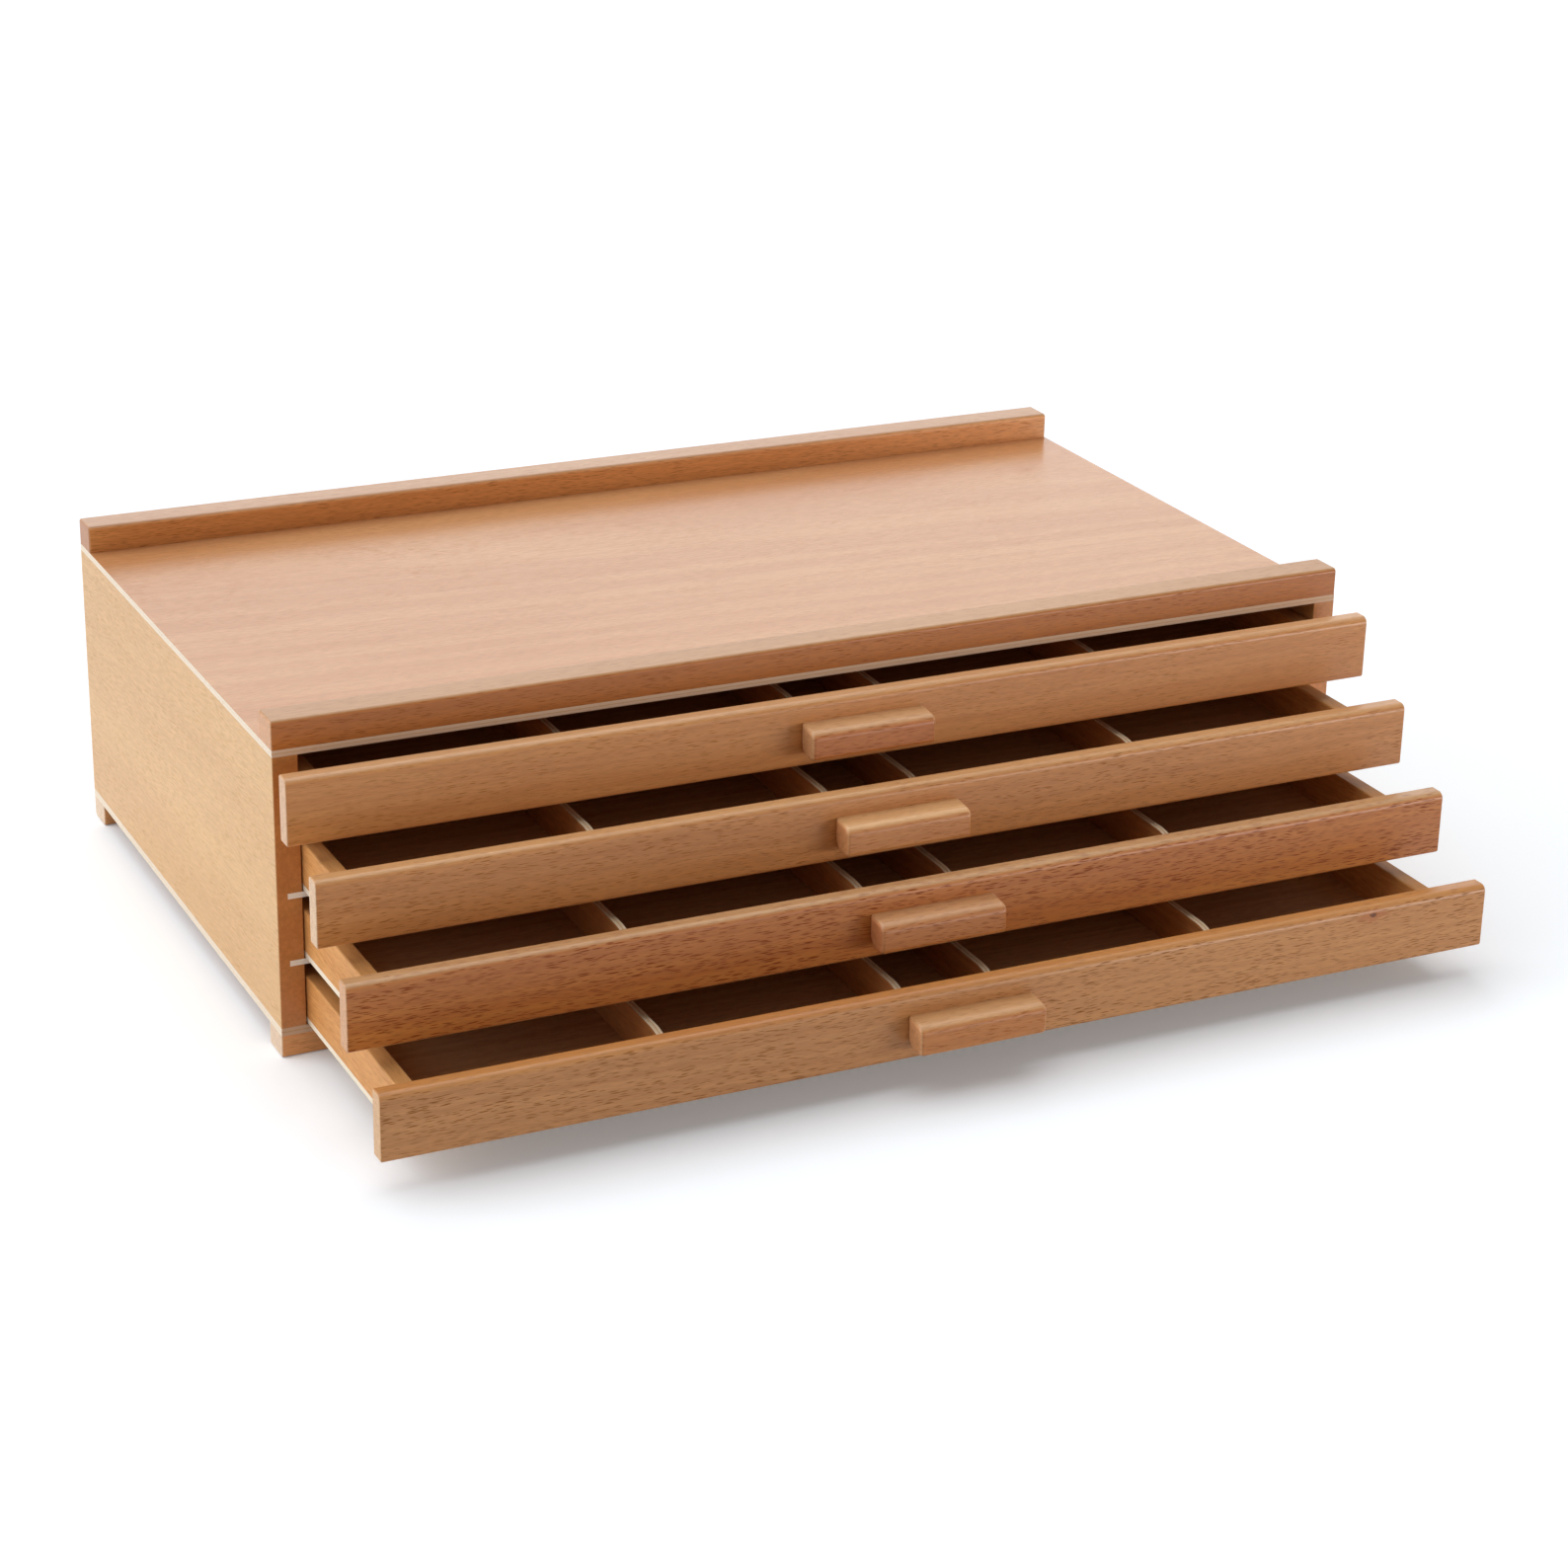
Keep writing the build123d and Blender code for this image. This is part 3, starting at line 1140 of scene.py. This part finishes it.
@dataclass
class Drawer:
    """One drawer: a front with its handle, beech walls, a ply bottom and ply dividers."""

    number: int
    log_step: float = 0.37

    def node(self, piece: str) -> str:
        """Names the CAD node of one of this drawer's pieces."""
        return f"drawer_{self.number}_{piece}"

    def dress(self) -> None:
        """Dresses the drawer and makes its dividers."""
        along = self.log_step * self.number
        # The grain leans a little differently in each front, as in any four boards.
        front_tilt = 0.6 - 0.3 * self.number
        width_wise, depth_wise = Cut.ALONG_WIDTH_FACING_FRONT, Cut.ALONG_DEPTH_FACING_SIDE
        front = FRONT_BEECH[self.number].material(
            f"beech_front_{self.number}",
            width_wise,
            LogPlace(along, 0.2 + 0.02 * self.number, 0.05 * self.number),
            front_tilt,
        )
        dress(self.node("front"), front)
        handle = HANDLE_BEECH[self.number].material(
            f"beech_handle_{self.number}",
            width_wise,
            LogPlace(along + 1.0, 0.22, 0.11 * self.number),
        )
        dress(self.node("handle"), handle)
        place = LogPlace(along + 0.5, 0.12, 0.07 * self.number)
        for piece, cut in (
            ("side_left", depth_wise),
            ("side_right", depth_wise),
            ("back", width_wise),
        ):
            node = self.node(piece)
            dress(node, WALL_BEECH.material(f"beech_{node}", cut, place))
        node = self.node("bottom")
        low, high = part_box(node)
        sheet = FacedPly(PALE_PLY_FACE, edge_pale="#F2E6D2", edge_core="#D8BE9A").material(
            f"pale_ply_{node}",
            Cut.ALONG_WIDTH_FACING_UP,
            LogPlace(along, 0.1, 0.4),
            low.z,
            high.z - low.z,
        )
        dress(node, sheet)
        strips = DividerPly(FacedPly(DIVIDER_FACE, edge_pale="#EAD5B6", edge_core="#CCA67A"))
        finish = strips.material(
            f"pale_ply_dividers_{self.number}", LogPlace(along, 0.13, 0.2)
        )
        piece = DividerSet(self.number).build(finish)
        log.info("%s built with %d faces", piece.name, len(piece.data.polygons))


@dataclass(frozen=True)
class SoftLight:
    """A distant softbox: where it stands, how strong it is and how wide it looks."""

    name: str
    towards: Triple
    strength: float
    width: float
    distance: float = 2.0

    def build(self) -> None:
        """Builds the lamp."""
        lamp = bpy.data.lights.new(self.name, "SUN")
        lamp.energy = self.strength
        lamp.angle = math.radians(self.width)
        holder = bpy.data.objects.new(self.name, lamp)
        towards = Vector(self.towards).normalized()
        holder.rotation_euler = towards.to_track_quat("Z", "Y").to_euler()
        holder.location = towards * self.distance
        bpy.context.scene.collection.objects.link(holder)


@dataclass
class Studio:
    """A plain white studio: soft light from above and from the left, pale light all round."""

    floor_half: float = 8.0
    overhead: SoftLight = SoftLight("overhead_softbox", (-0.16, 0.24, 0.96), 1.9, 74.0)
    left: SoftLight = SoftLight("left_softbox", (-0.86, 0.42, 0.31), 1.54, 50.0)
    backdrop: SoftLight = SoftLight("backdrop_glow", (0.17, 0.86, 0.47), 0.58, 56.0)
    fill_place: Triple = (0.9, -1.0, 0.1)
    fill_target: Triple = (0.1, -0.1, 0.06)
    fill_power: float = 5.6
    fill_width: float = 0.8
    fill_height: float = 0.16
    sky_strength: float = 0.22
    floor_colour: str = "#E4E4E4"
    seen_floor: str = "#EDF2F7"
    floor_lift: float = 0.17

    def seen_rays(self, maker: TreeMaker) -> Socket:
        """Tells the rays that someone sees from those that only carry light.

        Args:
            maker: the tree under construction.

        Returns:
            1 for rays from the camera, through glass or off a gloss, else 0.
        """
        path = maker.add("ShaderNodeLightPath").outputs
        shown = maker.math("MAXIMUM", path["Is Camera Ray"], path["Is Glossy Ray"])
        return maker.math("MAXIMUM", shown, path["Is Transmission Ray"])

    def build_floor(self) -> None:
        """Builds the floor: white where it is seen, pale in the light that it throws back."""
        half = self.floor_half
        mesh = bpy.data.meshes.new("studio_floor")
        mesh.from_pydata(
            [(-half, -half, 0.0), (half, -half, 0.0), (half, half, 0.0), (-half, half, 0.0)],
            [],
            [(0, 1, 2, 3)],
        )
        floor = bpy.data.objects.new("studio_floor", mesh)
        bpy.context.scene.collection.objects.link(floor)
        material = bpy.data.materials.new("matt_white_paper")
        material.use_nodes = True
        maker = TreeMaker(material.node_tree)
        pale = maker.add("ShaderNodeBsdfDiffuse", {"Color": linear(self.floor_colour)})
        white = maker.add("ShaderNodeBsdfDiffuse", {"Color": linear(self.seen_floor)})
        lift = maker.add("ShaderNodeEmission", {"Strength": self.floor_lift})
        seen = maker.add("ShaderNodeAddShader", {0: white.outputs[0], 1: lift.outputs[0]})
        either = maker.add(
            "ShaderNodeMixShader",
            {0: self.seen_rays(maker), 1: pale.outputs[0], 2: seen.outputs[0]},
        )
        maker.add("ShaderNodeOutputMaterial", {"Surface": either.outputs[0]})
        mesh.materials.append(material)

    def build_world(self) -> None:
        """Builds the surroundings: white where they are seen, weaker as a light."""
        world = bpy.data.worlds.new("white_studio")
        world.use_nodes = True
        maker = TreeMaker(world.node_tree)
        strength = maker.add(
            "ShaderNodeMapRange",
            {"Value": self.seen_rays(maker), "To Min": self.sky_strength, "To Max": 1.0},
        )
        sky = maker.add(
            "ShaderNodeBackground",
            {"Color": (1.0, 1.0, 1.0, 1.0), "Strength": strength.outputs[0]},
        )
        maker.add("ShaderNodeOutputWorld", {"Surface": sky.outputs[0]})
        bpy.context.scene.world = world

    def build_fill(self) -> None:
        """Builds the weak softbox that lifts the right end of the drawer fronts."""
        lamp = bpy.data.lights.new("fill_softbox", "AREA")
        lamp.energy = self.fill_power
        lamp.shape = "RECTANGLE"
        lamp.size = self.fill_width
        lamp.size_y = self.fill_height
        holder = bpy.data.objects.new("fill_softbox", lamp)
        away = Vector(self.fill_place) - Vector(self.fill_target)
        holder.rotation_euler = away.to_track_quat("Z", "Y").to_euler()
        holder.location = self.fill_place
        holder.visible_camera = False
        bpy.context.scene.collection.objects.link(holder)

    def build(self) -> None:
        """Builds floor, surroundings and lamps."""
        self.build_floor()
        self.build_world()
        self.overhead.build()
        self.left.build()
        self.backdrop.build()
        self.build_fill()
        bpy.context.scene.view_settings.view_transform = "Standard"
        log.info("studio built")


@dataclass
class PhotoCamera:
    """The camera at the photograph's place, as fitted to the object's corners."""

    place: Triple = (-0.513376, -1.069883, 0.525657)
    yaw: float = 0.45374
    pitch: float = 0.38542
    roll: float = 0.02128
    lens: float = 81.964
    sensor_width: float = 36.0
    far_end: float = 100.0

    def build(self) -> None:
        """Builds the camera and makes it the scene's."""
        forward = Vector(
            (
                math.sin(self.yaw) * math.cos(self.pitch),
                math.cos(self.yaw) * math.cos(self.pitch),
                -math.sin(self.pitch),
            )
        )
        level = Vector((math.cos(self.yaw), -math.sin(self.yaw), 0.0))
        upright = level.cross(forward)
        right = level * math.cos(self.roll) + upright * math.sin(self.roll)
        up = upright * math.cos(self.roll) - level * math.sin(self.roll)
        data = bpy.data.cameras.new("photo_camera")
        data.lens = self.lens
        data.sensor_width = self.sensor_width
        data.clip_end = self.far_end
        camera = bpy.data.objects.new("photo_camera", data)
        turn = Matrix((right, up, -forward)).transposed().to_4x4()
        camera.matrix_world = Matrix.Translation(self.place) @ turn
        bpy.context.scene.collection.objects.link(camera)
        bpy.context.scene.camera = camera
        log.info("camera set")


def main() -> None:
    """Builds the studio, the camera and every part of the box in turn."""
    logging.basicConfig(level=logging.INFO, format="%(name)s: %(message)s")
    PhotoCamera().build()
    Studio().build()
    Case().dress()
    for number in (1, 2, 3, 4):
        Drawer(number).dress()


if __name__ == "__main__":
    main()
